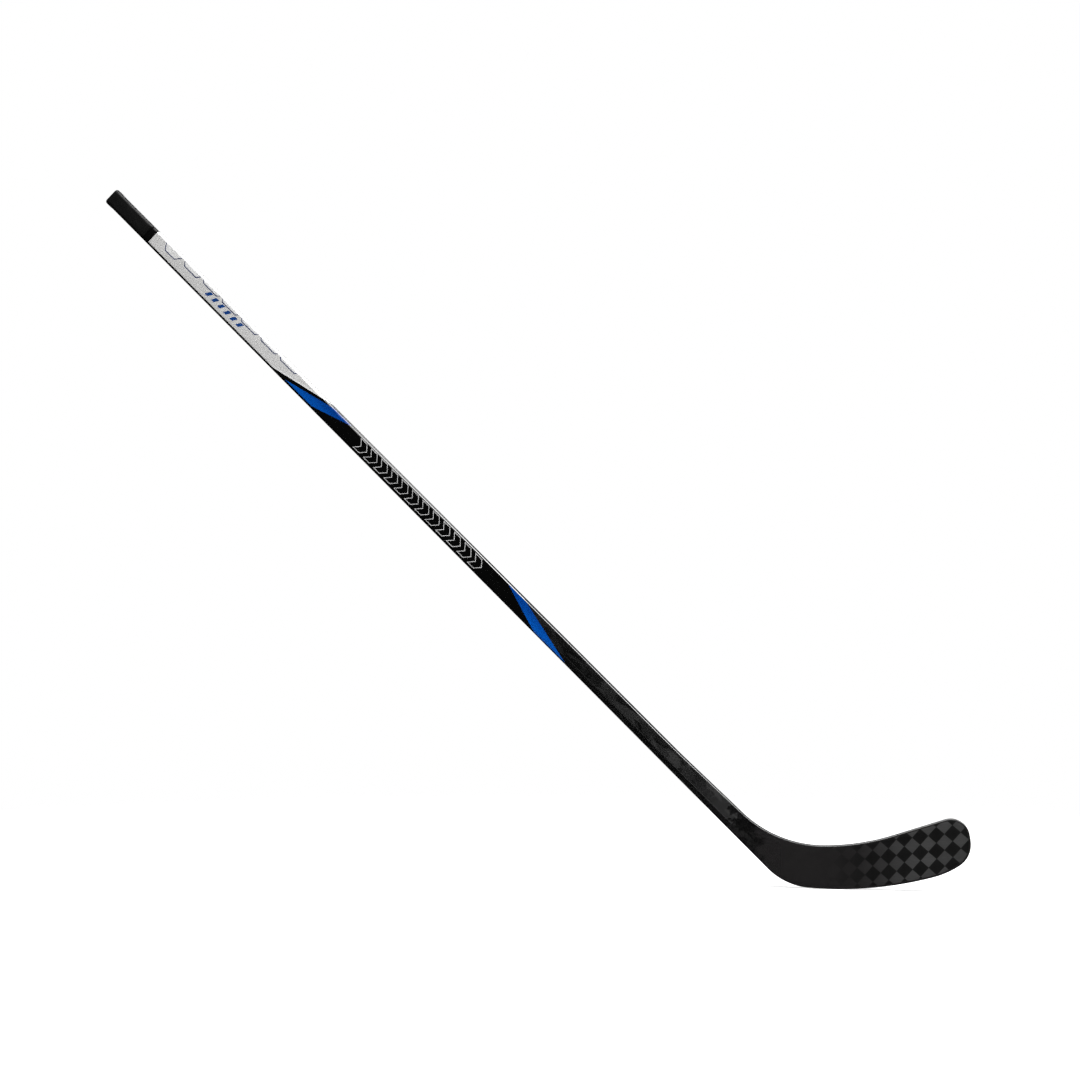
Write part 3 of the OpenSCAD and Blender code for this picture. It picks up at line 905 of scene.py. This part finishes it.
def dress(node, material, group):
    """A CAD node's own material, and smooth shading over its rounded corners."""
    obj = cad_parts[node]
    if not obj.data.materials:
        obj.data.materials.append(material)
    for slot in obj.material_slots:
        slot.material = material
    weld = obj.modifiers.new("weld", "WELD")
    weld.merge_threshold = 0.001 * MM
    shade = obj.modifiers.new("smooth", "NODES")
    shade.node_group = group
    even = obj.modifiers.new("even", "WEIGHTED_NORMAL")
    even.keep_sharp = True
    even.weight = 100


# ---- Studio ----

def add_floor():
    """A pale floor that runs out into the backdrop's tone, and that the gloss mirrors as dark."""
    place = (MIDDLE.x, MIDDLE.y, CAD_LOW.z - FLOOR_DROP)
    bpy.ops.mesh.primitive_circle_add(vertices=96, radius=FLOOR_R, fill_type="NGON", location=place)
    floor = bpy.context.object
    floor.name = "studio_floor"
    g = Graph("studio_floor", grey(0.86), 0.9, 0.0)
    path = g.add("ShaderNodeLightPath").outputs
    mirrored, seen = path["Is Glossy Ray"], path["Is Camera Ray"]
    g.to_shader("Base Color", g.blend(mirrored, grey(0.86), grey(0.01)))
    g.set("Emission Color", (1, 1, 1, 1))
    fill = g.between(mirrored, 0, 1, 0.16, 0.0)
    g.to_shader("Emission Strength", g.math("ADD", fill, g.math("MULTIPLY", seen, 0.5)))
    fade = g.add("ShaderNodeVectorMath", operation="LENGTH")
    g.feed(fade, 0, g.place)
    g.to_shader("Alpha", g.between(fade.outputs["Value"], *FLOOR_FADE, 1.0, 0.0))
    floor.data.materials.append(g.material)


def add_world():
    """A pale backdrop that the camera sees, and a dimmer one that lights and mirrors see."""
    world = bpy.data.worlds.new("studio")
    bpy.context.scene.world = world
    world.use_nodes = True
    tree = world.node_tree
    seen = tree.nodes["Background"]
    seen.inputs[0].default_value = (1, 1, 1, 1)
    seen.inputs[1].default_value = 1.0
    cast = tree.nodes.new("ShaderNodeBackground")
    cast.inputs[0].default_value = (1, 1, 1, 1)
    cast.inputs[1].default_value = 0.012
    path = tree.nodes.new("ShaderNodeLightPath")
    choice = tree.nodes.new("ShaderNodeMixShader")
    tree.links.new(path.outputs["Is Camera Ray"], choice.inputs[0])
    tree.links.new(cast.outputs[0], choice.inputs[1])
    tree.links.new(seen.outputs[0], choice.inputs[2])
    tree.links.new(choice.outputs[0], tree.nodes["World Output"].inputs[0])


def add_light(name, place, size, radiance, aim):
    """A soft box of size (x, y) metres at place, turned to aim."""
    data = bpy.data.lights.new(name, "AREA")
    data.shape = "RECTANGLE"
    data.size, data.size_y = size
    data.energy = radiance * math.pi * size[0] * size[1]
    light = bpy.data.objects.new(name, data)
    bpy.context.scene.collection.objects.link(light)
    light.location = place
    light.rotation_euler = (Vector(aim) - Vector(place)).to_track_quat("-Z", "Y").to_euler()
    light.visible_camera = False


def add_lights():
    for name, shift, size, radiance, straight_down in LIGHTS:
        place = MIDDLE + Vector(shift)
        aim = place + Vector((0, 0, -1)) if straight_down else MIDDLE
        add_light(name, place, size, radiance, aim)


def add_camera():
    """The camera at the photograph's angle: it looks up a little from low on the right."""
    azimuth, elevation = math.radians(CAMERA_TURN), math.radians(CAMERA_RISE)
    target = Vector((MIDDLE.x + TARGET_SHIFT[0], 0, MIDDLE.z + TARGET_SHIFT[1]))
    back = Vector((math.sin(azimuth) * math.cos(elevation),
                   -math.cos(azimuth) * math.cos(elevation), math.sin(elevation)))
    data = bpy.data.cameras.new("camera")
    data.sensor_width = 36
    data.angle = math.radians(CAMERA_ANGLE)
    data.clip_start, data.clip_end = 0.02, 60
    camera = bpy.data.objects.new("camera", data)
    bpy.context.scene.collection.objects.link(camera)
    camera.location = target + back * CAMERA_AWAY
    camera.rotation_euler = back.to_track_quat("Z", "Y").to_euler()
    bpy.context.scene.camera = camera


# ---- Scene ----

def dress_nodes(carbon):
    """Every CAD node that stays on show, or hides inside, gets the material of its stuff."""
    laminate = inner_material("laminate", grey(0.012), grey(0.02), 3 * MM, 0.45)
    foam = inner_material("foam", (0.72, 0.66, 0.5), (0.62, 0.56, 0.42), 1.2 * MM, 0.9)
    glue = inner_material("adhesive", (0.62, 0.5, 0.22), (0.5, 0.38, 0.15), 2 * MM, 0.3)
    plug = inner_material("plug", (0.5, 0.33, 0.17), (0.36, 0.22, 0.1), 4 * MM, 0.7)
    finish = {
        "grey_film": grey_paint(), "black_film": black_paint(), "white_film": white_paint(),
        "emblem": emblem_paint(), "upper_motif": upper_motif_paint(),
        "lower_motif": lower_motif_paint(), "shaft_tube": laminate, "blade_neck": laminate,
        "core_rib": laminate, "forehand_skin": laminate, "backhand_skin": laminate,
        "upper_core": foam, "lower_core": foam, "plug_adhesive": glue, "tenon_adhesive": glue,
        "end_plug": plug,
    }
    blue = blue_paint()
    finish.update({"upper_flash": blue, "lower_flash": blue, "upper_cover": carbon})
    group = smooth_group()
    for node, material in finish.items():
        dress(node, material, group)


def build():
    add_camera()
    add_world()
    add_lights()
    add_floor()
    carbon = cover_carbon()
    dress_nodes(carbon)
    add_neck(carbon, hosel_carbon())
    face = blade_carbon("blade_carbon")
    add_face("forehand_face", "forehand_ply", -1, face)
    add_face("backhand_face", "backhand_ply", 1, face)
    add_rims(bead_resin())
    add_cap(rubber("cap_rubber", grey(0.0055), grey(0.009), 0.45))
    add_band(rubber("band_rubber", grey(0.001), grey(0.002), 0.4))
    bpy.context.scene.view_settings.view_transform = "Standard"


build()
